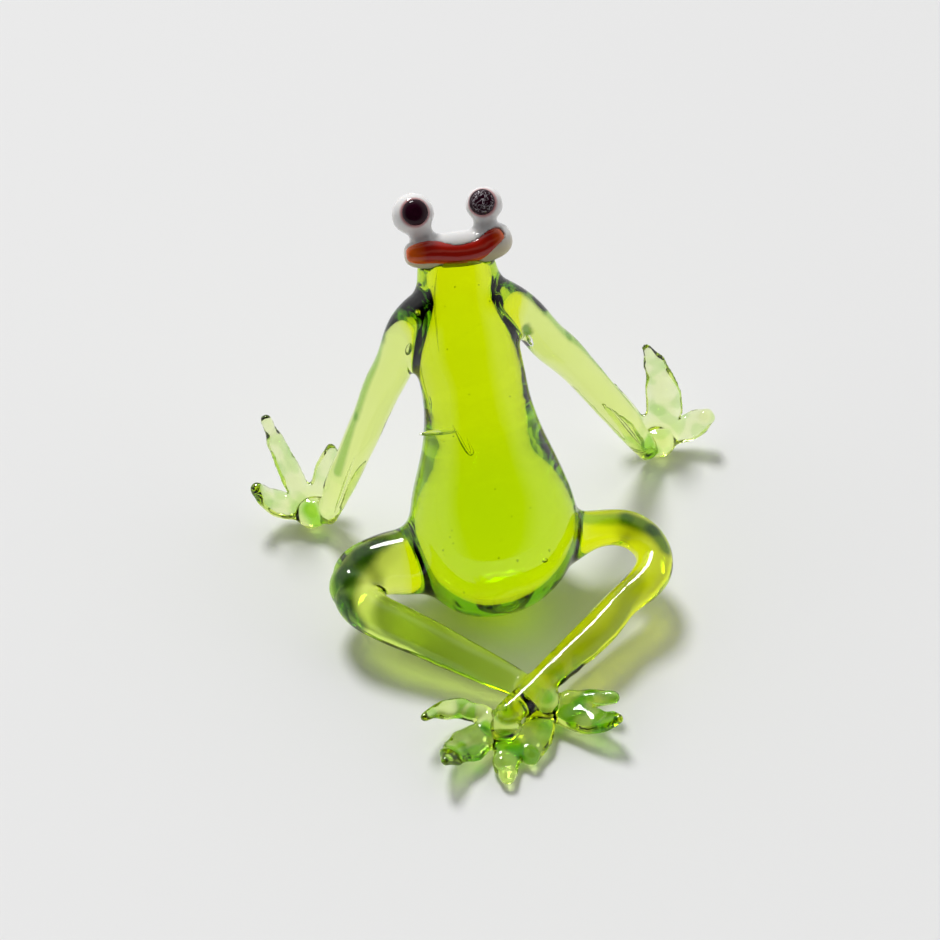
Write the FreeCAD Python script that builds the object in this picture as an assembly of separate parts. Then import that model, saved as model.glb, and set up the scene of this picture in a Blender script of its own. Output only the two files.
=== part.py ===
"""A lampworked glass frog that sits with its shins crossed and leans back on its hands.

Millimetres. The frog faces -Y, +Z is up and +X is on the right of someone who looks it in the face. The
origin is the middle of the small flat under the rump on which it sits.

All the green glass was melted together in the flame, so it is one solid. Each gather of another colour is
a solid of its own, fused to its neighbour face to face: the white lips, the red mouth laid in them, two
white eye bulbs and the dark pupil pressed into each.
"""

import FreeCAD, Part
import math
import os
from collections import namedtuple
from FreeCAD import Vector

# The trunk: a pear-shaped gather that stands on the seat and bends back. Its spine is an arc that starts
# upright at the seat and then runs straight on at the lean.
lean_angle = 29.5
back_bend_radius = 30.0
seat_half_width = 5.0
seat_half_depth = 4.2

# Girths of the trunk from the seat up. Each rise is measured along the spine from the girth below it.
belly_rise = 11.5
belly_half_width = 14.2
belly_half_depth = 13.2
belly_sideways = 1.2
midriff_rise = 11.5
midriff_half_width = 12.5
midriff_half_depth = 12.0
midriff_sideways = 1.2
waist_rise = 8.0
waist_half_width = 9.9
waist_half_depth = 9.7
waist_sideways = 1.0
chest_rise = 9.5
chest_half_width = 8.9
chest_half_depth = 8.7
chest_sideways = 0.2
shoulder_rise = 11.5
shoulder_half_width = 7.5
shoulder_half_depth = 7.2
shoulder_sideways = -0.3
neck_rise = 8.0
neck_half_width = 6.4
neck_half_depth = 5.3
neck_sideways = -0.4

# The arms: rods that flare into the shoulders and run almost straight down to the wrist, which stands on
# the table behind the seat. The bow is how far the middle of the arm stands out from the straight line.
arm_radius = 3.15
arm_flare_radius = 5.4
shoulder_drop = 0.9
left_arm_bow = 0.1
right_arm_bow = 1.1
wrist_radius = 1.8
left_wrist = Vector(-24.9, 21.5, 2.3)
right_wrist = Vector(35.0, 25.4, 2.5)

# The legs: rods that run level from the hip, turn back at the knee and cross in front of the belly. The
# left leg is folded so sharply that its two halves touch. The right one is a round bend over the left.
hip_height = 9.9
hip_side = 6.3
left_hip_radius = 6.1
left_knee = Vector(-23.7, -1.7, 9.1)
left_knee_radius = 4.1
left_knee_bend = 4.7
left_shin_radius = 3.65
left_ankle = Vector(-0.2, -24.0, 3.6)
left_ankle_radius = 2.2
right_hip_radius = 5.7
right_knee = Vector(27.1, -2.9, 9.4)
right_knee_radius = 3.2
right_knee_bend = 6.8
right_shin_radius = 3.15
right_shin_bow = 0.3
right_ankle = Vector(-3.8, -30.6, 5.0)
right_ankle_radius = 1.9

# The hands and feet: a small ball of glass with flat pinched leaves, each drawn out to a bead
palm_radius = 2.9
heel_radius = 2.5
leaf_half_thickness = 0.95

# The face, in the head's own directions from the top of the neck: side is +X, up runs along the neck and
# forward runs out of the chest.
lip_forward = 2.0
lip_radius = 2.9
mouth_forward = 1.55
mouth_radius = 1.65
left_eye_radius = 3.4
left_eye_side = -6.8
right_eye_radius = 2.95
right_eye_side = 5.1
left_stalk_lean = 1.8
right_stalk_lean = -0.6
eye_up = 9.0
eye_forward = 1.0
eye_stalk_radius = 1.9
pupil_radius = 2.15
pupil_half_thickness = 1.05
pupil_sunk = 0.35

RING_POINTS = 8
DOME_ANGLES = (40, 75)
UP = Vector(0, 0, 1)
FRONT = Vector(0, -1, 0)
SIDE = Vector(1, 0, 0)


def unit(vector):
    return Vector(vector).normalize()


def blend(start, end, share):
    return start + (end - start) * share


def ring(centre, along, facing, half_width, half_thickness):
    """A closed oval round the point centre, square to along. Its flat side looks towards facing."""
    across = unit(along.cross(facing))
    through = unit(across.cross(along))
    points = []
    for i in range(RING_POINTS):
        turn = 2 * math.pi * i / RING_POINTS
        wide = across * (half_width * math.cos(turn))
        points.append(centre + wide + through * (half_thickness * math.sin(turn)))
    curve = Part.BSplineCurve()
    curve.interpolate(Points=points, PeriodicFlag=True)
    return Part.Wire(curve.toShape())


def headings(points):
    """The way that a line through the points runs at each of them."""
    steps = [unit(after - before) for before, after in zip(points, points[1:])]
    turning = [unit(before + after) for before, after in zip(steps, steps[1:])]
    return [steps[0]] + turning + [steps[-1]]


def rod(stations, facing=UP):
    """A solid of pulled glass. A station is a centre, a half width and a half thickness."""
    rings = []
    for station, along in zip(stations, headings([centre for centre, _, _ in stations])):
        centre, half_width, half_thickness = station
        rings.append(ring(centre, along, facing, half_width, half_thickness))
    return Part.makeLoft(rings, True)


def dome(centre, outward, half_width, half_thickness, reach=None):
    """The stations past a rod's last full one that round its end off."""
    reach = reach or min(half_width, half_thickness)
    stations = []
    for angle in DOME_ANGLES:
        share = math.cos(math.radians(angle))
        out = centre + outward * (reach * math.sin(math.radians(angle)))
        stations.append((out, half_width * share, half_thickness * share))
    return stations


def round_rod(stations, facing=UP, domed=False):
    """A rod whose section is round at each station, a centre and a radius. Domed rounds both ends off."""
    full = [(centre, radius, radius) for centre, radius in stations]
    if domed:
        start, end = full[0], full[-1]
        before = dome(start[0], unit(start[0] - full[1][0]), start[1], start[2])
        after = dome(end[0], unit(end[0] - full[-2][0]), end[1], end[2])
        full = before[::-1] + full + after
    return rod(full, facing)


def ball(centre, radius, half_height=None, axis=UP, facing=FRONT):
    """A ball of glass, or one that was pressed along its axis to the half height."""
    after = dome(centre, axis, radius, radius, half_height)
    before = dome(centre, axis * -1, radius, radius, half_height)
    rings = []
    for middle, half_width, half_thickness in before[::-1] + [(centre, radius, radius)] + after:
        rings.append(ring(middle, axis, facing, half_width, half_thickness))
    return Part.makeLoft(rings, True)


def fused(solids):
    whole = solids[0].multiFuse(solids[1:])
    return whole.Solids[0] if len(whole.Solids) == 1 else whole


def spine(distance):
    """The point on the trunk's spine at a distance from the seat, and the spine's direction there."""
    lean = math.radians(lean_angle)
    turn = min(distance / back_bend_radius, lean)
    past = distance - back_bend_radius * turn
    direction = Vector(0, math.sin(turn), math.cos(turn))
    start = Vector(
        0, back_bend_radius * (1 - math.cos(turn)), back_bend_radius * math.sin(turn)
    )
    return start + direction * past, direction


# How far up the spine each girth lies
at_belly = belly_rise
at_midriff = at_belly + midriff_rise
at_waist = at_midriff + waist_rise
at_chest = at_waist + chest_rise
at_shoulder = at_chest + shoulder_rise
at_neck = at_shoulder + neck_rise
neck_top, neck_direction = spine(at_neck)
face_direction = unit(SIDE.cross(neck_direction))


def trunk():
    """The body gather: round under the rump, full at the belly, drawn in at the waist and up to the neck."""
    girths = []
    # Below the belly the outline is a quarter of an ellipse that the seat cuts off flat.
    start = math.asin(seat_half_width / belly_half_width)
    seat_depth_share = seat_half_depth / seat_half_width
    belly_depth_share = belly_half_depth / belly_half_width
    for share in (0.0, 0.18, 0.4, 0.68):
        angle = blend(start, math.pi / 2, share)
        rise = belly_rise * (1 - math.cos(angle) / math.cos(start))
        width = belly_half_width * math.sin(angle)
        depth = width * blend(seat_depth_share, belly_depth_share, share)
        girths.append((rise, width, depth, belly_sideways * share))
    girths += [
        (at_belly, belly_half_width, belly_half_depth, belly_sideways),
        (at_midriff, midriff_half_width, midriff_half_depth, midriff_sideways),
        (at_waist, waist_half_width, waist_half_depth, waist_sideways),
        (at_chest, chest_half_width, chest_half_depth, chest_sideways),
        (at_shoulder, shoulder_half_width, shoulder_half_depth, shoulder_sideways),
        (at_neck, neck_half_width, neck_half_depth, neck_sideways),
    ]
    rings = []
    for distance, half_width, half_depth, sideways in girths:
        centre, direction = spine(distance)
        rings.append(
            ring(centre + SIDE * sideways, direction, FRONT, half_width, half_depth)
        )
    crown = neck_top + SIDE * neck_sideways
    for centre, half_width, half_depth in dome(
        crown, neck_direction, neck_half_width, neck_half_depth
    ):
        rings.append(ring(centre, neck_direction, FRONT, half_width, half_depth))
    return Part.makeLoft(rings, True)


def arm(side, wrist, bow):
    """From inside the trunk out over the shoulder and down to the wrist. Side is -1 or 1."""
    middle, _ = spine(at_shoulder - shoulder_drop)
    outward = SIDE * side
    start = middle + outward * (shoulder_half_width + arm_radius * 0.45) - UP * 0.6

    def down(share):
        return blend(start, wrist, share) + outward * (bow * math.sin(math.pi * share))

    return round_rod(
        [
            (middle + outward * (shoulder_half_width * 0.35) + UP * 1.6, arm_flare_radius),
            (middle + outward * (shoulder_half_width * 0.8) + UP * 1.1, arm_flare_radius * 0.82),
            (down(0.0), arm_radius * 1.14),
            (down(0.14), arm_radius * 1.08),
            (down(0.28), arm_radius * 1.06),
            (down(0.48), arm_radius * 0.96),
            (down(0.7), arm_radius * 0.9),
            (down(0.87), arm_radius * 0.76),
            (wrist, wrist_radius),
        ],
        FRONT,
    )


def bend(hip, knee, ankle, radius):
    """Five points of a round bend with the knee in the middle, from where a straight thigh meets it to
    where a straight shin leaves it."""
    inward = unit(unit(hip - knee) + unit(ankle - knee))
    middle = knee + inward * radius
    plane = unit((hip - knee).cross(ankle - knee))
    spokes = [inward * -1]
    for target, turn in ((hip, -1), (ankle, 1)):
        reach = target - middle
        swing = FreeCAD.Rotation(plane * turn, math.degrees(math.acos(radius / reach.Length)))
        touch = swing.multVec(unit(reach))
        half_way = unit(touch - inward)
        spokes = [touch, half_way] + spokes if turn < 0 else spokes + [half_way, touch]
    return [middle + spoke * radius for spoke in spokes]


def left_leg():
    """The thigh runs out to the knee, and the shin doubles back in front of the belly."""
    hip = Vector(-hip_side, 1.2, hip_height)
    thigh_end, above, _, _, shin_start = bend(hip, left_knee, left_ankle, left_knee_bend)
    thigh = round_rod(
        [
            (hip, left_hip_radius),
            (blend(hip, thigh_end, 0.4), left_hip_radius * 0.97),
            (blend(hip, thigh_end, 0.8), blend(left_hip_radius, left_knee_radius, 0.3)),
            (above, blend(left_hip_radius, left_knee_radius, 0.75)),
            (left_knee, left_knee_radius),
        ]
    )
    shin = round_rod(
        [
            (left_knee, left_knee_radius * 0.97),
            (shin_start, left_shin_radius * 1.04),
            (blend(shin_start, left_ankle, 0.3), left_shin_radius * 0.96),
            (blend(shin_start, left_ankle, 0.6), left_shin_radius * 0.86),
            (blend(shin_start, left_ankle, 0.82), blend(left_shin_radius, left_ankle_radius, 0.6)),
            (left_ankle, left_ankle_radius),
        ]
    )
    return [thigh, shin, ball(left_knee, left_knee_radius * 1.06)]


def right_leg():
    """One bent rod from the hip round the knee and over the left ankle."""
    hip = Vector(hip_side, 0.5, hip_height)
    thigh_end, above, knee, below, shin_start = bend(hip, right_knee, right_ankle, right_knee_bend)
    outward = unit(UP.cross(right_ankle - shin_start))

    def shin(share):
        bow = outward * (right_shin_bow * math.sin(math.pi * share))
        return blend(shin_start, right_ankle, share) + bow

    return [
        round_rod(
            [
                (hip, right_hip_radius),
                (blend(hip, thigh_end, 0.32), right_hip_radius * 0.95),
                (blend(hip, thigh_end, 0.68), blend(right_hip_radius, right_knee_radius, 0.65)),
                (thigh_end, right_knee_radius),
                (above, right_knee_radius),
                (knee, right_knee_radius),
                (below, right_knee_radius),
                (shin_start, right_shin_radius),
                (shin(0.3), right_shin_radius * 0.96),
                (shin(0.55), right_shin_radius * 0.88),
                (shin(0.82), blend(right_shin_radius, right_ankle_radius, 0.7)),
                (right_ankle, right_ankle_radius),
            ]
        )
    ]


# A finger or toe. Root, bulge and tip are measured from the middle of its palm or heel, fullest is how far
# along it is widest, and blunt is its width at the bead against its full width.
Leaf = namedtuple("Leaf", "root bulge tip half_width facing bead fullest blunt")

left_palm = left_wrist + Vector(-2.2, 1.6, 0.4)
LEFT_FINGERS = [
    Leaf(
        Vector(-0.6, 1.6, 0.4), Vector(-3.6, 5.6, 8.2), Vector(-6.1, 7.2, 17.2),
        2.15, Vector(0.25, -0.75, 0.6), 1.0, 0.3, 0.34,
    ),
    Leaf(
        Vector(-1.0, 0.2, 0.3), Vector(-6.2, 2.0, 1.9), Vector(-9.0, 2.2, 5.4),
        2.6, Vector(0.4, -0.4, 1.0), 1.35, 0.45, 0.65,
    ),
    Leaf(
        Vector(0.6, 1.6, 0.4), Vector(3.6, 4.8, 5.2), Vector(4.7, 5.9, 9.2),
        2.2, Vector(0.25, -0.75, 0.6), 1.0, 0.4, 0.6,
    ),
]
right_palm = right_wrist + Vector(2.4, 2.2, 0.3)
RIGHT_FINGERS = [
    Leaf(
        Vector(0.3, 1.4, 0.4), Vector(1.4, 4.8, 7.8), Vector(-1.4, 7.1, 16.8),
        3.45, Vector(-0.3, -0.8, 0.55), 0.85, 0.3, 0.3,
    ),
    Leaf(
        Vector(1.4, 0.4, 0.2), Vector(5.3, 1.0, 1.2), Vector(8.7, 1.0, 3.2),
        2.5, Vector(-0.2, -0.5, 1.0), 1.7, 0.5, 0.9,
    ),
    Leaf(
        Vector(-1.6, 1.6, 0.4), Vector(-5.6, 4.6, 4.7), Vector(-7.2, 6.8, 8.6),
        2.2, Vector(0.3, -0.8, 0.6), 0.9, 0.45, 0.4,
    ),
]
left_heel = left_ankle + Vector(3.2, -4.1, -0.6)
LEFT_TOES = [
    Leaf(
        Vector(-0.8, -1.2, -0.2), Vector(-2.6, -5.6, -0.9), Vector(-4.3, -9.1, -1.45),
        2.8, UP, 1.6, 0.45, 0.75,
    ),
    Leaf(
        Vector(0.8, -1.0, 0.0), Vector(5.8, -4.6, -0.5), Vector(10.6, -7.8, 2.6),
        2.7, UP, 0.8, 0.5, 0.34,
    ),
    Leaf(
        Vector(1.2, 0.0, 0.3), Vector(6.2, -0.8, 0.5), Vector(11.1, -2.3, 1.2),
        1.5, Vector(0, -0.4, 1), 0.95, 0.5, 0.65,
    ),
]
right_heel = right_ankle + Vector(-0.6, -0.5, -2.5)
RIGHT_TOES = [
    Leaf(
        Vector(-0.8, 0.6, 0.4), Vector(-7.0, 3.9, 1.5), Vector(-13.0, 1.4, 3.8),
        1.8, Vector(0.2, -0.4, 1), 0.8, 0.45, 0.34,
    ),
    Leaf(
        Vector(-1.0, -0.6, 0.2), Vector(-6.8, -2.9, 0.1), Vector(-11.4, -7.6, 3.1),
        3.0, Vector(0.3, 0, 1), 0.75, 0.5, 0.34,
    ),
    Leaf(
        Vector(0, -1.2, 0.2), Vector(-0.8, -5.6, -0.7), Vector(-1.5, -9.3, -1.1),
        2.1, UP, 1.5, 0.6, 0.85,
    ),
]
ROOT_WIDTH = 0.6
LEAF_STATIONS = (0.0, 0.2, 0.4, 0.6, 0.78, 0.9)


def leaf_share(at, fullest, blunt):
    """How wide a leaf is at a share of its length, against its full width."""
    if at < fullest:
        return blend(ROOT_WIDTH, 1.0, math.sin(math.pi / 2 * at / fullest))
    past = (at - fullest) / (1 - fullest)
    return blend(blunt, 1.0, math.cos(math.pi / 2 * past))


def leaf(middle, shape):
    """A finger or toe, pinched flat, that curves from its root over the bulge to the bead at its tip."""
    root, bulge, tip = (middle + point for point in (shape.root, shape.bulge, shape.tip))
    path = Part.BezierCurve()
    path.setPoles([root, bulge * 2 - (root + tip) * 0.5, tip])
    outward = path.tangent(1.0)[0]
    neck = shape.bead * 0.8
    rings = []
    for at in LEAF_STATIONS:
        wide = max(shape.half_width * leaf_share(at, shape.fullest, shape.blunt), neck)
        thick = min(leaf_half_thickness * blend(1.25, 0.9, at), wide)
        rings.append(ring(path.value(at), path.tangent(at)[0], shape.facing, wide, thick))
    bead = [(tip, shape.bead, shape.bead)] + dome(tip, outward, shape.bead, shape.bead)
    for centre, half_width, half_thickness in bead:
        rings.append(ring(centre, outward, shape.facing, half_width, half_thickness))
    return Part.makeLoft(rings, True)


def spray(middle, radius, leaves):
    """A palm or heel with its fingers or toes."""
    return [ball(middle, radius)] + [leaf(middle, shape) for shape in leaves]


def left_foot():
    """It comes out on the right, past the ankle that lies over it."""
    instep = blend(left_ankle, left_heel, 0.5)
    sole = round_rod(
        [
            (blend(left_ankle, left_heel, -0.3), left_ankle_radius),
            (instep, left_ankle_radius * 1.02),
            (left_heel, heel_radius * 0.9),
        ]
    )
    return [sole] + spray(left_heel, heel_radius, LEFT_TOES)


def right_foot():
    """Three toes fanned out to the left and forward from the ankle that lies on top."""
    drop = round_rod([(right_ankle, right_ankle_radius * 0.95), (right_heel, heel_radius * 0.8)], FRONT)
    knob = ball(right_ankle, right_ankle_radius * 1.05)
    return [drop, knob] + spray(right_heel, heel_radius, RIGHT_TOES)


def head_point(side, up, forward):
    """A point of the head, from the top of the neck."""
    return neck_top + SIDE * side + neck_direction * up + face_direction * forward


def lips():
    """A thick white bar across the top of the neck, its right corner lifted into a smirk."""
    return round_rod(
        [
            (head_point(-6.7, 2.6, lip_forward), lip_radius * 0.82),
            (head_point(-3.2, 2.55, lip_forward), lip_radius * 0.95),
            (head_point(1.0, 2.4, lip_forward), lip_radius),
            (head_point(4.2, 2.7, lip_forward), lip_radius * 1.02),
            (head_point(6.0, 3.1, lip_forward), lip_radius * 1.01),
        ],
        UP,
        True,
    )


def mouth():
    """The red trail laid along the front of the lips."""
    out = lip_forward + mouth_forward
    return round_rod(
        [
            (head_point(-7.3, 2.9, out), mouth_radius * 0.85),
            (head_point(-5.0, 2.9, out), mouth_radius),
            (head_point(-2.4, 2.5, out), mouth_radius),
            (head_point(0.8, 2.3, out), mouth_radius),
            (head_point(3.8, 2.9, out), mouth_radius),
            (head_point(6.0, 4.0, out), mouth_radius * 0.92),
        ],
        UP,
        True,
    )


def eye(side, radius, lean_in):
    """A bulb of white glass on a short stalk that runs down into the lips."""
    bulb = head_point(side, eye_up, eye_forward)
    foot = head_point(side + lean_in, 3.0, lip_forward * 0.6)
    rise = unit(bulb - foot)
    stations = [(foot, eye_stalk_radius), (blend(foot, bulb, 0.3), eye_stalk_radius)]
    for angle in (50, 25):
        lean = math.radians(angle)
        stations.append((bulb - rise * (radius * math.sin(lean)), radius * math.cos(lean)))
    stations.append((bulb, radius))
    full = [(centre, girth, girth) for centre, girth in stations]
    return rod(full + dome(bulb, rise, radius, radius), FRONT), bulb


def pupil(bulb, radius, look):
    """A dark lens of glass pressed into the bulb, domed where it stands proud."""
    outward = unit(look)
    centre = bulb + outward * (radius - pupil_sunk)
    return ball(centre, pupil_radius, pupil_half_thickness, outward, SIDE)


def above_table(shape):
    """The glass as it was set down soft: nothing lies below the table, and what touches it is flat."""
    reach = 400.0
    depth = 50.0
    below = Part.makeBox(reach, reach, depth, Vector(-reach / 2, -reach / 2, -depth))
    return shape.cut(below)


def green_glass():
    """The trunk with its arms and legs, one solid."""
    left_side = fused([arm(-1, left_wrist, left_arm_bow)] + spray(left_palm, palm_radius, LEFT_FINGERS))
    right_side = fused([arm(1, right_wrist, right_arm_bow)] + spray(right_palm, palm_radius, RIGHT_FINGERS))
    legs = fused([fused(left_leg() + left_foot()), fused(right_leg() + right_foot())])
    return above_table(fused([trunk(), left_side, right_side, legs]))


def main():
    red = mouth()
    white = lips()
    left_white, left_bulb = eye(left_eye_side, left_eye_radius, left_stalk_lean)
    right_white, right_bulb = eye(right_eye_side, right_eye_radius, right_stalk_lean)
    left_dark = pupil(left_bulb, left_eye_radius, Vector(0.0, -0.714, 0.70))
    right_dark = pupil(right_bulb, right_eye_radius, Vector(-0.27, -0.61, 0.73))
    body = green_glass()
    for colour in (white, red, left_white, right_white):
        body = body.cut(colour)

    pieces = {
        "green_body": body,
        "white_lips": white.cut(red),
        "red_mouth": red,
        "left_eye": left_white.cut(white).cut(red).cut(left_dark),
        "right_eye": right_white.cut(white).cut(red).cut(right_dark),
        "left_pupil": left_dark,
        "right_pupil": right_dark,
    }
    os.makedirs("parts", exist_ok=True)
    for name, shape in pieces.items():
        print(
            f"{name}: {len(shape.Solids)} solid, valid {shape.isValid()}, "
            f"{shape.Volume:.1f} mm3, {len(shape.Faces)} faces"
        )
        shape.exportStep(f"parts/{name}.step")


main()
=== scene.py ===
import math
import random

import bmesh
import bpy
from mathutils import Matrix, Vector, noise


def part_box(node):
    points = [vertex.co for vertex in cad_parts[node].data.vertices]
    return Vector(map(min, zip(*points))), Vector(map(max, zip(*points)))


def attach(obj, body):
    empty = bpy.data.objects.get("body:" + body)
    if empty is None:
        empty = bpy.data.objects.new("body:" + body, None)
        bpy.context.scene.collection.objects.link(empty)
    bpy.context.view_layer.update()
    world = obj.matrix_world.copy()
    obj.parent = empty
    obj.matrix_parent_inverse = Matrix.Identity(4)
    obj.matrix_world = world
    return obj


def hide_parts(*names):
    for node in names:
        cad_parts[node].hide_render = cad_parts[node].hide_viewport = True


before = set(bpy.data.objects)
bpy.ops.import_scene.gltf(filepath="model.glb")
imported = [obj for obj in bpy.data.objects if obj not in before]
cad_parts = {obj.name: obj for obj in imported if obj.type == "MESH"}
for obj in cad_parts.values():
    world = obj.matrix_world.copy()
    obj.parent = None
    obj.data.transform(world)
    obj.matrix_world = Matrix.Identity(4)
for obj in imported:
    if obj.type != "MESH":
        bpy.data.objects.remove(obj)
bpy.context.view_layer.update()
MM = 0.001


# The green body
# One mass of clear glass: a yellow-green gather for the trunk, with rods pulled and bent for the arms and
# legs and pinched leaves for the fingers and toes. The flame melts every joint to a soft web.
MERGE = 0.002 * MM
GLASS_VOXEL = 0.40 * MM
GLASS_SMOOTHING = 5
WEB_PASSES = 8
WEB_ROUNDS = 22
GLASS_IOR = 1.47
GREEN_ABSORPTION = (0.89, 0.955, 0.25)
GREEN_DENSITY = 200.0
# The slow waver of pulled glass, and the dents that the tweezers leave in the hands and feet
WAVER = 0.12
WAVER_LENGTH = 6.5
DENT = 0.50
DENT_LENGTH = 2.7
FLESH = 0.20
# Each worked end by its centre, its reach in millimetres and how hard it was worked
PINCHED = (
    ((-31, 27, 9), 13, 0.45),
    ((40, 31, 9), 13, 0.45),
    ((-10, -33, 3), 11, 1.0),
    ((-4, -38, 2), 6, 1.0),
    ((9, -32, 3), 11, 1.0),
)
NAVEL = (-0.5, -7.7, 21.1)
NAVEL_DEPTH = 0.22
NAVEL_REACH = 1.5
# The neck leans back, and its stub is pressed flat behind the lips.
LEAN = math.radians(29.5)
NECK_UP = Vector((0, math.sin(LEAN), math.cos(LEAN)))
STUB_TOP = 63.6
STUB_PRESS = 0.8
# How fast the dents set in from the edge of a worked end, and the height above the table, in millimetres,
# over which waver and dents fade in
PINCH_ONSET = 2.2
PLAIN_HEIGHT = 1.5


def link(name, mesh):
    piece = bpy.data.objects.new(name, mesh)
    bpy.context.scene.collection.objects.link(piece)
    return piece


def finished_mesh(piece):
    """The piece's mesh with its modifiers applied."""
    depsgraph = bpy.context.evaluated_depsgraph_get()
    return bpy.data.meshes.new_from_object(piece.evaluated_get(depsgraph))


def melted(name, node_names, voxel):
    """Copies of nodes run together into one skin, as the flame does."""
    bm = bmesh.new()
    for node in node_names:
        bm.from_mesh(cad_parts[node].data)
    bmesh.ops.remove_doubles(bm, verts=bm.verts, dist=MERGE)
    piece = link(name, bpy.data.meshes.new(name))
    bm.to_mesh(piece.data)
    bm.free()
    remesh = piece.modifiers.new("melt", "REMESH")
    remesh.mode = "VOXEL"
    remesh.voxel_size = voxel
    remesh.adaptivity = 0.0
    piece.data = finished_mesh(piece)
    piece.modifiers.clear()
    return piece


def smooth(bm, verts, rounds):
    for _ in range(rounds):
        bmesh.ops.smooth_vert(bm, verts=verts, factor=0.5, use_axis_x=True, use_axis_y=True, use_axis_z=True)


def fill_creases(bm, passes, rounds):
    """Draws a web of glass into each crease: smooths the skin, then puts back every place that sank."""
    for _ in range(passes):
        bm.normal_update()
        before = [(vert.co.copy(), vert.normal.copy()) for vert in bm.verts]
        smooth(bm, bm.verts, rounds)
        for vert, (place, normal) in zip(bm.verts, before):
            if (vert.co - place).dot(normal) < 0:
                vert.co = place


def pinched(point):
    """How much of a place, from 0 to 1, the tweezers have worked."""
    most = 0.0
    for centre, reach, force in PINCHED:
        share = (point - Vector(centre)).length / reach
        most = max(most, force * min(1.0, PINCH_ONSET * (1 - share)))
    return most


glass = melted("green_glass_body", ["green_body"], GLASS_VOXEL)
bm = bmesh.new()
bm.from_mesh(glass.data)
fill_creases(bm, WEB_PASSES, WEB_ROUNDS)
smooth(bm, bm.verts, GLASS_SMOOTHING)
bm.normal_update()
for vert in bm.verts:
    point = vert.co / MM
    wave = WAVER * noise.noise(point / WAVER_LENGTH)
    worked = pinched(point)
    if worked > 0:
        wave += worked * (FLESH + DENT * noise.noise(point / DENT_LENGTH))
    navel = (point - Vector(NAVEL)).length / NAVEL_REACH
    wave -= NAVEL_DEPTH * math.exp(-navel * navel)
    off_table = min(1.0, point.z / PLAIN_HEIGHT)
    vert.co += vert.normal * (wave * off_table * MM)
    vert.co.z = max(vert.co.z, 0.0)
    over = vert.co.dot(NECK_UP) / MM - STUB_TOP
    if over > 0:
        vert.co -= NECK_UP * (STUB_PRESS * over * MM)
for face in bm.faces:
    face.smooth = True
bm.to_mesh(glass.data)
bm.free()


# Air in the glass
# Bubbles and threads of air that were trapped as the glass was gathered and pulled: a hairpin and a seam in
# the waist, a long thread down from the lips, one in each forearm, blisters at the armpits, and fine seed.
THREADS = (
    (
        (-4.2, 8.7, 33.4),
        (-3.4, 7.6, 31.6),
        (-2.3, 6.2, 29.0),
        (-1.7, 5.9, 28.4),
        (-1.5, 6.3, 29.2),
        (-2.2, 7.4, 31.2),
    ),
    ((-4.1, 22.5, 55.3), (-4.9, 21.0, 53.0), (-5.3, 19.0, 49.8), (-5.2, 17.2, 46.8), (-5.0, 15.6, 43.6)),
    ((-19.2, 20.2, 18.8), (-20.8, 20.4, 13.6), (-22.3, 20.6, 8.8), (-23.5, 20.8, 5.0)),
    ((26.0, 22.0, 19.0), (28.4, 22.5, 15.0), (31.2, 23.1, 9.8), (32.4, 23.4, 7.4)),
)
THREAD_RADII = (0.30, 0.15, 0.28, 0.30)
# Each blister by its centre, its half sizes, and its turn in degrees about the axis from front to back
BLISTERS = (
    ((-7.0, 8.0, 32.7), (3.4, 0.7, 0.20), 3),
    ((7.2, -6.1, 14.0), (0.5, 0.3, 0.4), 20),
    ((-7.6, 20.6, 48.2), (0.42, 0.42, 0.42), 0),
    ((-9.8, 18.6, 42.6), (0.6, 0.4, 1.3), 15),
    ((10.5, 18.0, 41.0), (0.5, 0.4, 1.5), -20),
)
# How thin a thread's ends are against its middle, and how near two points of its skin are one
THREAD_END = 0.06
AIR_MERGE = 0.001 * MM
SEED_COUNT = 46
SEED_RADIUS = 0.085
# The seed's lowest and highest places, and how far it lies from the trunk's middle below and above the waist
SEED_LOW = 6
SEED_HIGH = 52
WAIST = 28
BELLY_REACH = 9.0
CHEST_REACH = 5.5
TRUNK_DEPTH = 5
# The height of the trunk's bend, and how far the trunk leans back for each millimetre above it
BEND_HEIGHT = 8
BEND_SLOPE = 0.56


def thread_of_air(points, radius):
    """A thin closed tube that tapers to nothing at both ends."""
    curve = bpy.data.curves.new("thread", "CURVE")
    curve.dimensions = "3D"
    curve.bevel_depth = radius * MM
    curve.bevel_resolution = 2
    curve.use_fill_caps = True
    curve.resolution_u = 8
    spline = curve.splines.new("NURBS")
    spline.points.add(len(points) - 1)
    for i, (place, point) in enumerate(zip(points, spline.points)):
        point.co = (*(Vector(place) * MM), 1.0)
        point.radius = THREAD_END if i in (0, len(points) - 1) else 1.0
    spline.order_u = 3
    spline.use_endpoint_u = True
    tube = link("thread", curve)
    mesh = finished_mesh(tube)
    bpy.data.objects.remove(tube)
    return mesh


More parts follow.
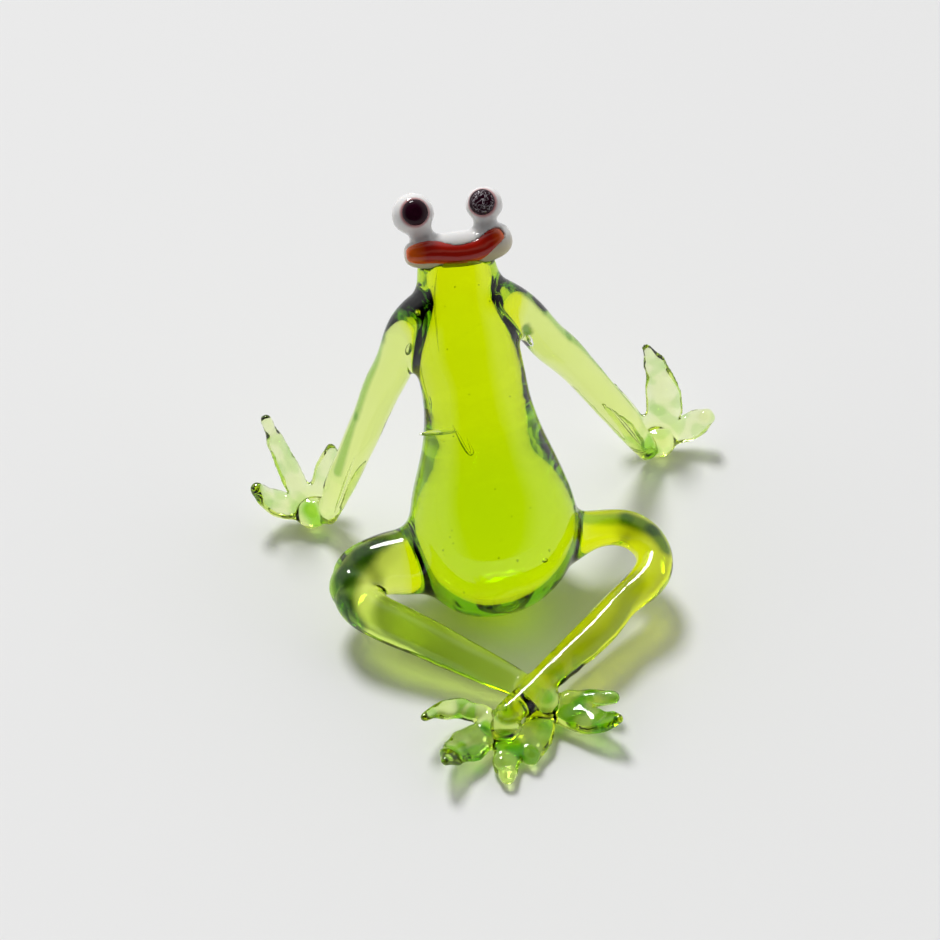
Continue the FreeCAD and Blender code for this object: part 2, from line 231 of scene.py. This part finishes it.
air = bmesh.new()
for points, radius in zip(THREADS, THREAD_RADII):
    air.from_mesh(thread_of_air(points, radius))
for centre, (wide, deep, high), turn in BLISTERS:
    place = Matrix.Translation(Vector(centre) * MM) @ Matrix.Rotation(math.radians(turn), 4, "Y")
    size = Matrix.Diagonal((wide * MM, deep * MM, high * MM, 1.0))
    bmesh.ops.create_uvsphere(air, u_segments=20, v_segments=12, radius=1.0, matrix=place @ size)
seeds = random.Random(7)
for _ in range(SEED_COUNT):
    height = seeds.uniform(SEED_LOW, SEED_HIGH)
    reach = BELLY_REACH if height < WAIST else CHEST_REACH
    lean = 0.0 if height < BEND_HEIGHT else (height - BEND_HEIGHT) * BEND_SLOPE
    side = seeds.uniform(-reach, reach)
    depth = lean + seeds.uniform(-TRUNK_DEPTH, TRUNK_DEPTH)
    centre = Vector((side, depth, height)) * MM
    size = Matrix.Diagonal((1.0, 1.0, seeds.uniform(1.0, 2.2), 1.0))
    radius = SEED_RADIUS * seeds.uniform(0.6, 1.5) * MM
    bmesh.ops.create_icosphere(air, subdivisions=2, radius=radius, matrix=Matrix.Translation(centre) @ size)
bmesh.ops.remove_doubles(air, verts=air.verts, dist=AIR_MERGE)
bmesh.ops.recalc_face_normals(air, faces=air.faces)
# The glass ends where the air begins, so these skins face inwards.
bmesh.ops.reverse_faces(air, faces=air.faces)
for face in air.faces:
    face.smooth = True
air_mesh = bpy.data.meshes.new("air")
air.to_mesh(air_mesh)
air.free()

skin_count = len(glass.data.vertices)
bm = bmesh.new()
bm.from_mesh(glass.data)
bm.from_mesh(air_mesh)
bm.to_mesh(glass.data)
bm.free()


# The colours of the green glass
# The trunk and the right leg are yellow-green, the left leg is a deeper green and the rest is nearly clear.
# Each colour ends where its rod was joined on. Painted shade lies over the knees, the shoulders and the
# upper rims of the arms: dark green streaks where the glass looks through onto the shaded table. The fingers
# and toes carry patches of painted shade.
YELLOW_GATHER = (0.98, 1.0, 0.0)
YELLOW_ROD = (0.98, 1.0, 0.02)
GREEN_ROD = (1.0, 1.0, 0.66)
DEEP_GREEN_ROD = (0.85, 1.0, 0.40)
PALE_ROD = (0.95, 1.0, 0.80)
FOOT_ROD = (0.86, 0.98, 0.55)
COLOUR_EDGE = 0.8
# Each run of glass by its centre line: two ends, its radius in millimetres, and its colour
RUNS = (
    ((0, 0, 6), (0, 3, 13), 12.8, YELLOW_GATHER),
    ((0, 3, 13), (1, 14, 33), 11.0, YELLOW_GATHER),
    ((1, 14, 33), (0, 27, 56), 8.0, YELLOW_GATHER),
    ((-9, 20, 45), (-24.9, 21.5, 2.3), 3.0, PALE_ROD),
    ((-24.9, 21.5, 2.3), (-31, 27, 8), 4.0, PALE_ROD),
    ((9, 20, 45), (35.0, 25.4, 2.5), 3.0, PALE_ROD),
    ((35.0, 25.4, 2.5), (40, 31, 8), 4.0, PALE_ROD),
    ((-15.5, 0, 9.5), (-23.7, -1.7, 9.1), 4.9, GREEN_ROD),
    ((-23.7, -3.7, 9.1), (-0.2, -24.0, 3.6), 3.5, DEEP_GREEN_ROD),
    ((2.0, -27, 3), (9, -31, 2), 3.0, FOOT_ROD),
    ((9, -2, 9.5), (27.1, -2.9, 9.4), 4.0, YELLOW_ROD),
    ((27.1, -2.9, 9.4), (-2.0, -29.0, 5.0), 3.1, YELLOW_ROD),
    ((-5, -32, 2), (-13, -31, 2), 3.0, FOOT_ROD),
    ((-4, -33, 2), (-5, -39, 1), 3.0, FOOT_ROD),
)
# Each streak of painted shade by its two ends on the skin, its reach in millimetres, and its colour
DEEP_PAINTED_SHADE = (0.06, 0.15, 0.04)
SOFT_PAINTED_SHADE = (0.26, 0.48, 0.14)
PATCH_PAINTED_SHADE = (0.24, 0.64, 0.03)
SHADE_STREAKS = (
    ((-14.5, 2.4, 15.5), (-18.9, 1.8, 15.1), 2.3, DEEP_PAINTED_SHADE),
    ((-18.9, 1.8, 15.1), (-22.0, 0.3, 14.2), 3.0, DEEP_PAINTED_SHADE),
    ((-22.0, 0.3, 14.2), (-25.2, -2.3, 13.0), 3.8, DEEP_PAINTED_SHADE),
    ((-25.2, -2.3, 13.0), (-26.6, -6.2, 10.4), 3.8, DEEP_PAINTED_SHADE),
    ((-26.6, -6.2, 10.4), (-24.9, -9.6, 8.2), 2.8, DEEP_PAINTED_SHADE),
    ((14.0, 1.8, 14.0), (24.0, 0.4, 13.3), 1.8, SOFT_PAINTED_SHADE),
    ((24.0, 0.4, 13.3), (27.8, -2.4, 12.6), 2.4, DEEP_PAINTED_SHADE),
    ((27.8, -2.4, 12.6), (29.2, -6.2, 11.6), 2.2, DEEP_PAINTED_SHADE),
    ((-8.8, 22.8, 50.0), (-13.0, 21.8, 43.0), 2.0, DEEP_PAINTED_SHADE),
    ((-13.0, 21.8, 43.0), (-19.4, 20.6, 27.1), 1.6, SOFT_PAINTED_SHADE),
    ((-19.4, 20.6, 27.1), (-22.6, 20.0, 15.0), 1.4, SOFT_PAINTED_SHADE),
    ((9.5, 21.6, 49.8), (13.7, 21.0, 45.3), 2.0, DEEP_PAINTED_SHADE),
    ((13.7, 21.0, 45.3), (18.4, 21.8, 37.6), 1.8, SOFT_PAINTED_SHADE),
    ((18.4, 21.8, 37.6), (25.6, 23.9, 26.2), 1.6, SOFT_PAINTED_SHADE),
    ((25.6, 23.9, 26.2), (31.4, 24.6, 16.0), 1.4, SOFT_PAINTED_SHADE),
    ((-9.0, 18.3, 43.5), (-8.8, 18.8, 41.5), 1.6, DEEP_PAINTED_SHADE),
    ((9.6, 18.2, 44.0), (10.2, 18.4, 42.3), 1.4, DEEP_PAINTED_SHADE),
    # Painted shade on the lower parts of the hands
    ((-26.3, 20.5, 2.6), (-27.5, 21.8, 5.0), 2.4, PATCH_PAINTED_SHADE),
    ((35.5, 23.8, 3.2), (33.6, 23.4, 7.5), 2.4, PATCH_PAINTED_SHADE),
)
# How fast the painted shade sets in across a streak
SHADE_CORE = 1.6
# The size, level and soft edge of the noise patches of painted shade on the fingers and toes
SHADE_PATCH_LENGTH = 3.1
SHADE_PATCH_LEVEL = 0.02
SHADE_PATCH_EDGE = 0.22
NO_TINT = (1.0, 1.0, 1.0, 1.0)


def beside(point, start, end):
    """How far a point lies from the line between two ends."""
    along = end - start
    share = min(max((point - start).dot(along) / along.length_squared, 0), 1)
    return (point - start - along * share).length


def shaded_over(colour, stain, strength):
    """A colour with a share of a darker painted shade laid over it."""
    return Vector([c * (1 + strength * (s - 1)) for c, s in zip(colour, stain)])


def eased(share):
    """A share held between 0 and 1, with a soft start and a soft end."""
    share = min(max(share, 0.0), 1.0)
    return share * share * (3 - 2 * share)


tint_and_painted_shade = glass.data.color_attributes.new("tint_and_painted_shade", "FLOAT_COLOR", "POINT")
runs = [(Vector(start), Vector(end), radius, Vector(colour)) for start, end, radius, colour in RUNS]
shade_streaks = [(Vector(start), Vector(end), reach, colour) for start, end, reach, colour in SHADE_STREAKS]
for i, vert in enumerate(glass.data.vertices):
    if i >= skin_count:
        tint_and_painted_shade.data[i].color = NO_TINT
        continue
    point = vert.co / MM
    shares = [(beside(point, start, end) - radius, colour) for start, end, radius, colour in runs]
    nearest = min(share for share, _ in shares)
    total, weight = Vector((0, 0, 0)), 0.0
    for share, colour in shares:
        pull = max(0.0, 1 - (share - nearest) / COLOUR_EDGE)
        total += colour * pull
        weight += pull
    shade = total / weight
    # Painted shade: dark green laid along the rims that look onto the shaded table
    for start, end, reach, colour in shade_streaks:
        share = 1 - beside(point, start, end) / reach
        if share > 0:
            shade = shaded_over(shade, colour, eased(SHADE_CORE * share))
    # Painted shade: deep green patches laid by noise over the worked fingers and toes, standing in for light
    # trapped inside the leaves
    worked = pinched(point)
    if worked > 0:
        shade_patch = noise.noise(point / SHADE_PATCH_LENGTH) - SHADE_PATCH_LEVEL
        shade = shaded_over(shade, PATCH_PAINTED_SHADE, worked * eased(shade_patch / SHADE_PATCH_EDGE))
    tint_and_painted_shade.data[i].color = (*shade, 1.0)

green = bpy.data.materials.new("green_glass")
green.use_nodes = True
nodes, links = green.node_tree.nodes, green.node_tree.links
shader = nodes["Principled BSDF"]
shader.inputs["Transmission Weight"].default_value = 1.0
shader.inputs["Metallic"].default_value = 0.0
shader.inputs["Roughness"].default_value = 0.0
shader.inputs["IOR"].default_value = GLASS_IOR
colour = nodes.new("ShaderNodeVertexColor")
colour.layer_name = "tint_and_painted_shade"
links.new(colour.outputs["Color"], shader.inputs["Base Color"])
volume = nodes.new("ShaderNodeVolumeAbsorption")
volume.inputs["Color"].default_value = (*GREEN_ABSORPTION, 1.0)
volume.inputs["Density"].default_value = GREEN_DENSITY
links.new(volume.outputs["Volume"], nodes["Material Output"].inputs["Volume"])
glass.data.materials.clear()
glass.data.materials.append(green)
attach(glass, "root")
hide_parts("green_body")


# The white lips and eyes
# Opal glass: a thick bar laid across the top of the neck and two round gathers drawn up from it on short
# stalks. The white is milky, warmer where the green shows through it, and pink round the pupils.
WHITE_VOXEL = 0.16 * MM
WHITE_WEB_PASSES = 8
WHITE_WEB_ROUNDS = 24
WHITE_SMOOTHING = 4
WHITE_SWELL = 0.07 * MM
MILK_WHITE = (0.80, 0.79, 0.78, 1)
WARM_WHITE = (0.60, 0.52, 0.34, 1)
BLUSH = (0.50, 0.17, 0.18, 1)
LIP_BOTTOM = 61.2
LIP_MIDDLE = 64.0
MILKINESS = 0.35
MILK_DEPTH = 0.9 * MM
BLUSH_OUTER = 2.75 * MM
BLUSH_INNER = 2.25 * MM
BLUSH_SHARE = 0.9
LEFT_PUPIL_CENTRE = sum(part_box("left_pupil"), Vector()) / 2
RIGHT_PUPIL_CENTRE = sum(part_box("right_pupil"), Vector()) / 2

white = melted("white_glass_head", ["white_lips", "left_eye", "right_eye"], WHITE_VOXEL)
bm = bmesh.new()
bm.from_mesh(white.data)
fill_creases(bm, WHITE_WEB_PASSES, WHITE_WEB_ROUNDS)
smooth(bm, bm.verts, WHITE_SMOOTHING)
bm.normal_update()
for vert in bm.verts:
    vert.co += vert.normal * WHITE_SWELL
for face in bm.faces:
    face.smooth = True
bm.to_mesh(white.data)
bm.free()

opal = bpy.data.materials.new("opal_glass")
opal.use_nodes = True
nodes, links = opal.node_tree.nodes, opal.node_tree.links
shader = nodes["Principled BSDF"]
shader.inputs["Roughness"].default_value = 0.06
shader.inputs["IOR"].default_value = GLASS_IOR
shader.inputs["Subsurface Weight"].default_value = MILKINESS
shader.inputs["Subsurface Radius"].default_value = (1.0, 0.9, 0.8)
shader.inputs["Subsurface Scale"].default_value = MILK_DEPTH
place = nodes.new("ShaderNodeTexCoord")
rise = nodes.new("ShaderNodeVectorMath")
rise.operation = "DOT_PRODUCT"
rise.inputs[1].default_value = NECK_UP
links.new(place.outputs["Object"], rise.inputs[0])
warmth = nodes.new("ShaderNodeMapRange")
warmth.inputs["From Min"].default_value = LIP_BOTTOM * MM
warmth.inputs["From Max"].default_value = LIP_MIDDLE * MM
links.new(rise.outputs["Value"], warmth.inputs["Value"])
body_colour = nodes.new("ShaderNodeMix")
body_colour.data_type = "RGBA"
links.new(warmth.outputs["Result"], body_colour.inputs["Factor"])
body_colour.inputs["A"].default_value = WARM_WHITE
body_colour.inputs["B"].default_value = MILK_WHITE
so_far = body_colour.outputs["Result"]
for centre in (LEFT_PUPIL_CENTRE, RIGHT_PUPIL_CENTRE):
    distance = nodes.new("ShaderNodeVectorMath")
    distance.operation = "DISTANCE"
    distance.inputs[1].default_value = centre
    links.new(place.outputs["Object"], distance.inputs[0])
    ring = nodes.new("ShaderNodeMapRange")
    ring.inputs["From Min"].default_value = BLUSH_OUTER
    ring.inputs["From Max"].default_value = BLUSH_INNER
    ring.inputs["To Max"].default_value = BLUSH_SHARE
    links.new(distance.outputs["Value"], ring.inputs["Value"])
    blush = nodes.new("ShaderNodeMix")
    blush.data_type = "RGBA"
    links.new(ring.outputs["Result"], blush.inputs["Factor"])
    links.new(so_far, blush.inputs["A"])
    blush.inputs["B"].default_value = BLUSH
    so_far = blush.outputs["Result"]
links.new(so_far, shader.inputs["Base Color"])
white.data.materials.clear()
white.data.materials.append(opal)
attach(white, "root")
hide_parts("white_lips", "left_eye", "right_eye")


# The red mouth
# A trail of opaque red glass pressed along the front of the lips. It thins to orange at both corners and
# along its lower edge. A paler band along its middle is painted reflection, the room caught in the crease
# along the trail.
MOUTH_VOXEL = 0.14 * MM
MOUTH_LINE = ((-8.4, 2.9), (-5.0, 2.9), (-2.4, 2.5), (0.8, 2.3), (3.8, 2.9), (7.2, 4.4))
MOUTH_HALF = 1.65
MOUTH_SPREAD = 0.16
SAG = 0.45
END_SPREAD = 0.35
END_SHARE = 0.15
MOUTH_SMOOTHING = 6
LAST_SMOOTHING = 3
NECK_TOP = Vector((0, 25.83, 53.55))
DEEP_RED = (0.42, 0.010, 0.003, 1)
REFLECTION_RED = (0.50, 0.060, 0.040, 1)
ORANGE = (0.75, 0.115, 0.008, 1)


def on_mouth(place):
    """How far a place lies along the mouth, from 0 to 1, and above its middle line, in millimetres."""
    point = place / MM - NECK_TOP
    side = min(max(point.x, MOUTH_LINE[0][0]), MOUTH_LINE[-1][0])
    for (left, low), (right, high) in zip(MOUTH_LINE, MOUTH_LINE[1:]):
        if left <= side <= right:
            middle = low + (high - low) * (side - left) / (right - left)
    share = (side - MOUTH_LINE[0][0]) / (MOUTH_LINE[-1][0] - MOUTH_LINE[0][0])
    return share, point.dot(NECK_UP) - middle


red = melted("red_glass_mouth", ["red_mouth"], MOUTH_VOXEL)
bm = bmesh.new()
bm.from_mesh(red.data)
smooth(bm, bm.verts, MOUTH_SMOOTHING)
across, along = [], []
for vert in bm.verts:
    share, above = on_mouth(vert.co)
    across.append(above / MOUTH_HALF)
    along.append(share)
    # The soft red spreads over the lips, and sags at its right end.
    spread = above * MOUTH_SPREAD - SAG * share * share
    end = max(0.0, 1.0 - share / END_SHARE)
    vert.co += (NECK_UP * spread - Vector((1, 0, 0)) * (END_SPREAD * end)) * MM
smooth(bm, bm.verts, LAST_SMOOTHING)
for face in bm.faces:
    face.smooth = True
bm.to_mesh(red.data)
bm.free()
red.data.attributes.new("across", "FLOAT", "POINT").data.foreach_set("value", across)
red.data.attributes.new("along", "FLOAT", "POINT").data.foreach_set("value", along)

trail = bpy.data.materials.new("red_glass")
trail.use_nodes = True
nodes, links = trail.node_tree.nodes, trail.node_tree.links
shader = nodes["Principled BSDF"]
shader.inputs["Roughness"].default_value = 0.07
shader.inputs["IOR"].default_value = GLASS_IOR
across_in = nodes.new("ShaderNodeAttribute")
across_in.attribute_name = "across"
along_in = nodes.new("ShaderNodeAttribute")
along_in.attribute_name = "along"
grain = nodes.new("ShaderNodeTexNoise")
grain.inputs["Scale"].default_value = 900.0
grain.inputs["Detail"].default_value = 3.0
place = nodes.new("ShaderNodeTexCoord")
stretch = nodes.new("ShaderNodeMapping")
stretch.inputs["Scale"].default_value = (0.25, 1.0, 1.0)
links.new(place.outputs["Object"], stretch.inputs["Vector"])
links.new(stretch.outputs["Vector"], grain.inputs["Vector"])
shift = nodes.new("ShaderNodeMath")
shift.operation = "MULTIPLY_ADD"
shift.inputs[1].default_value = 0.5
links.new(grain.outputs["Fac"], shift.inputs[0])
links.new(across_in.outputs["Fac"], shift.inputs[2])
width_ramp = nodes.new("ShaderNodeValToRGB")
width_ramp.color_ramp.elements[0].position = 0.05
width_ramp.color_ramp.elements[0].color = ORANGE
width_ramp.color_ramp.elements[1].position = 0.95
width_ramp.color_ramp.elements[1].color = DEEP_RED
# The paler band at 0.60 is painted reflection along the crease.
for position, colour in ((0.22, DEEP_RED), (0.52, DEEP_RED), (0.60, REFLECTION_RED), (0.70, DEEP_RED)):
    element = width_ramp.color_ramp.elements.new(position)
    element.color = colour
to_ramp = nodes.new("ShaderNodeMapRange")
to_ramp.inputs["From Min"].default_value = -0.75
to_ramp.inputs["From Max"].default_value = 1.25
links.new(shift.outputs["Value"], to_ramp.inputs["Value"])
links.new(to_ramp.outputs["Result"], width_ramp.inputs["Fac"])
corner_ramp = nodes.new("ShaderNodeValToRGB")
corner_ramp.color_ramp.elements[0].position = 0.05
corner_ramp.color_ramp.elements[0].color = (1, 1, 1, 1)
corner_ramp.color_ramp.elements[1].position = 1.0
corner_ramp.color_ramp.elements[1].color = (0.9, 0.9, 0.9, 1)
for position, value in ((0.17, 0.0), (0.86, 0.0)):
    element = corner_ramp.color_ramp.elements.new(position)
    element.color = (value, value, value, 1)
links.new(along_in.outputs["Fac"], corner_ramp.inputs["Fac"])
corners = nodes.new("ShaderNodeMix")
corners.data_type = "RGBA"
links.new(corner_ramp.outputs["Color"], corners.inputs["Factor"])
links.new(width_ramp.outputs["Color"], corners.inputs["A"])
corners.inputs["B"].default_value = ORANGE
links.new(corners.outputs["Result"], shader.inputs["Base Color"])
red.data.materials.clear()
red.data.materials.append(trail)
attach(red, "root")
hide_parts("red_mouth")


# The pupils
# Drops of glass so dark a purple that they look black, pressed into the eyes. The left one is glassy, and
# the right one chilled too fast, so that its face is crazed with fine wrinkles, whose crests carry painted
# white glints of the lamp.
PUPIL_VOXEL = 0.11 * MM
DARK_PURPLE = (0.016, 0.0012, 0.006, 1)
DARK_PLUM = (0.03, 0.003, 0.013, 1)
GLINT_WHITE = (0.62, 0.58, 0.62, 1)
PUPIL_SMOOTHING = 4
WRINKLE_HEIGHT = 0.25 * MM
CRAZE_SCALE = 900.0
RIGHT_PUPIL_FACE = RIGHT_PUPIL_CENTRE + Vector((0, -0.5, 0.6)) * MM

for node, crazed in (("left_pupil", False), ("right_pupil", True)):
    pupil = melted(node + "_drop", [node], PUPIL_VOXEL)
    bm = bmesh.new()
    bm.from_mesh(pupil.data)
    smooth(bm, bm.verts, PUPIL_SMOOTHING)
    for face in bm.faces:
        face.smooth = True
    bm.to_mesh(pupil.data)
    bm.free()
    dark = bpy.data.materials.new("dark_glass_crazed_painted_glints" if crazed else "dark_glass")
    dark.use_nodes = True
    nodes, links = dark.node_tree.nodes, dark.node_tree.links
    shader = nodes["Principled BSDF"]
    shader.inputs["Roughness"].default_value = 0.04
    shader.inputs["IOR"].default_value = GLASS_IOR
    shader.inputs["Specular IOR Level"].default_value = 0.2
    place = nodes.new("ShaderNodeTexCoord")
    clouds = nodes.new("ShaderNodeTexNoise")
    clouds.inputs["Scale"].default_value = 450.0
    links.new(place.outputs["Object"], clouds.inputs["Vector"])
    depth = nodes.new("ShaderNodeMix")
    depth.data_type = "RGBA"
    links.new(clouds.outputs["Fac"], depth.inputs["Factor"])
    depth.inputs["A"].default_value = DARK_PURPLE
    depth.inputs["B"].default_value = DARK_PLUM
    links.new(depth.outputs["Result"], shader.inputs["Base Color"])
    if crazed:
        wrinkles = nodes.new("ShaderNodeTexNoise")
        wrinkles.inputs["Scale"].default_value = CRAZE_SCALE
        wrinkles.inputs["Detail"].default_value = 1.0
        wrinkles.inputs["Distortion"].default_value = 1.8
        links.new(place.outputs["Object"], wrinkles.inputs["Vector"])
        relief = nodes.new("ShaderNodeBump")
        relief.inputs["Strength"].default_value = 1.0
        relief.inputs["Distance"].default_value = WRINKLE_HEIGHT
        links.new(wrinkles.outputs["Fac"], relief.inputs["Height"])
        links.new(relief.outputs["Normal"], shader.inputs["Normal"])
        # The crests of the wrinkles are painted white: painted glints of the lamp.
        glint_crest = nodes.new("ShaderNodeValToRGB")
        glint_crest.color_ramp.elements[0].position = 0.505
        glint_crest.color_ramp.elements[0].color = (0, 0, 0, 1)
        glint_crest.color_ramp.elements[1].position = 0.565
        glint_crest.color_ramp.elements[1].color = (0, 0, 0, 1)
        for position in (0.525, 0.545):
            element = glint_crest.color_ramp.elements.new(position)
            element.color = (1, 1, 1, 1)
        links.new(wrinkles.outputs["Fac"], glint_crest.inputs["Fac"])
        # The painted glints fade out towards the rim.
        distance = nodes.new("ShaderNodeVectorMath")
        distance.operation = "DISTANCE"
        distance.inputs[1].default_value = RIGHT_PUPIL_FACE
        links.new(place.outputs["Object"], distance.inputs[0])
        inside = nodes.new("ShaderNodeMapRange")
        inside.inputs["From Min"].default_value = 2.0 * MM
        inside.inputs["From Max"].default_value = 1.6 * MM
        links.new(distance.outputs["Value"], inside.inputs["Value"])
        glint_mask = nodes.new("ShaderNodeMath")
        glint_mask.operation = "MULTIPLY"
        links.new(glint_crest.outputs["Color"], glint_mask.inputs[0])
        links.new(inside.outputs["Result"], glint_mask.inputs[1])
        face_colour = nodes.new("ShaderNodeMix")
        face_colour.data_type = "RGBA"
        links.new(glint_mask.outputs["Value"], face_colour.inputs["Factor"])
        links.new(depth.outputs["Result"], face_colour.inputs["A"])
        face_colour.inputs["B"].default_value = GLINT_WHITE
        links.new(face_colour.outputs["Result"], shader.inputs["Base Color"])
    pupil.data.materials.clear()
    pupil.data.materials.append(dark)
    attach(pupil, "root")
    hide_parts(node)


# The table and the light
# A pale table that runs on out of sight. One soft lamp stands behind and above the frog, the room around is
# pale, and it is dark behind the camera, which gives the glass its dark rims.
TABLE_HALF = 3.0
TABLE_COLOUR = (0.80, 0.80, 0.80, 1)
ROOM_SIDE = (-0.147, -0.691, 0.707)
LAMP_SIDE = (-0.10, 0.62, 0.78)
LAMP_WIDTH = math.radians(17)
LAMP_STRENGTH = 2.25
ROOM_GREY = 0.84
DARK_SIDE = 0.02
# How much of the pale room the light that has passed through the glass still meets behind the camera
THROUGH_GLASS = 0.45

bm = bmesh.new()
bmesh.ops.create_grid(bm, x_segments=1, y_segments=1, size=TABLE_HALF)
table = link("table", bpy.data.meshes.new("table"))
bm.to_mesh(table.data)
bm.free()
paper = bpy.data.materials.new("pale_table")
paper.use_nodes = True
shader = paper.node_tree.nodes["Principled BSDF"]
shader.inputs["Base Color"].default_value = TABLE_COLOUR
shader.inputs["Roughness"].default_value = 0.6
shader.inputs["Specular IOR Level"].default_value = 0.2
table.data.materials.append(paper)

world = bpy.data.worlds.new("room")
bpy.context.scene.world = world
world.use_nodes = True
nodes, links = world.node_tree.nodes, world.node_tree.links
background = nodes["Background"]
coordinate = nodes.new("ShaderNodeTexCoord")
towards_camera = nodes.new("ShaderNodeVectorMath")
towards_camera.operation = "DOT_PRODUCT"
towards_camera.inputs[1].default_value = ROOM_SIDE
links.new(coordinate.outputs["Generated"], towards_camera.inputs[0])
ramp = nodes.new("ShaderNodeValToRGB")
ramp.color_ramp.elements[0].position = 0.35
ramp.color_ramp.elements[0].color = (ROOM_GREY, ROOM_GREY, ROOM_GREY, 1)
ramp.color_ramp.elements[1].position = 0.72
ramp.color_ramp.elements[1].color = (DARK_SIDE, DARK_SIDE, DARK_SIDE, 1)
links.new(towards_camera.outputs["Value"], ramp.inputs["Fac"])
seen = nodes.new("ShaderNodeLightPath")
share = nodes.new("ShaderNodeMath")
share.operation = "MULTIPLY_ADD"
share.inputs[1].default_value = THROUGH_GLASS
links.new(seen.outputs["Is Transmission Ray"], share.inputs[0])
links.new(seen.outputs["Is Camera Ray"], share.inputs[2])
plain = nodes.new("ShaderNodeMix")
plain.data_type = "RGBA"
links.new(share.outputs["Value"], plain.inputs["Factor"])
links.new(ramp.outputs["Color"], plain.inputs["A"])
plain.inputs["B"].default_value = TABLE_COLOUR
links.new(plain.outputs["Result"], background.inputs["Color"])

lamp_data = bpy.data.lights.new("window_light", "SUN")
lamp_data.angle = LAMP_WIDTH
lamp_data.energy = LAMP_STRENGTH
lamp = bpy.data.objects.new("window_light", lamp_data)
bpy.context.scene.collection.objects.link(lamp)
lamp.rotation_euler = Vector(LAMP_SIDE).to_track_quat("Z", "Y").to_euler()


# The camera
# It looks down at the frog at 45 degrees, from a little to one side.
CAMERA_PLACE = Vector((-66.4, -295.6, 333.4)) * MM
CAMERA_BACK = Vector((-0.147, -0.691, 0.707))
FOCAL_PIXELS = 2610.0
FRAME_PIXELS = 940.0
SENSOR_WIDTH = 36.0

camera_data = bpy.data.cameras.new("camera")
camera_data.sensor_width = SENSOR_WIDTH
camera_data.lens = FOCAL_PIXELS / FRAME_PIXELS * SENSOR_WIDTH
camera_data.clip_start = 0.01
camera = bpy.data.objects.new("camera", camera_data)
bpy.context.scene.collection.objects.link(camera)
camera.location = CAMERA_PLACE
camera.rotation_euler = (-CAMERA_BACK).to_track_quat("-Z", "Y").to_euler()
bpy.context.scene.camera = camera
bpy.context.scene.view_settings.view_transform = "Standard"
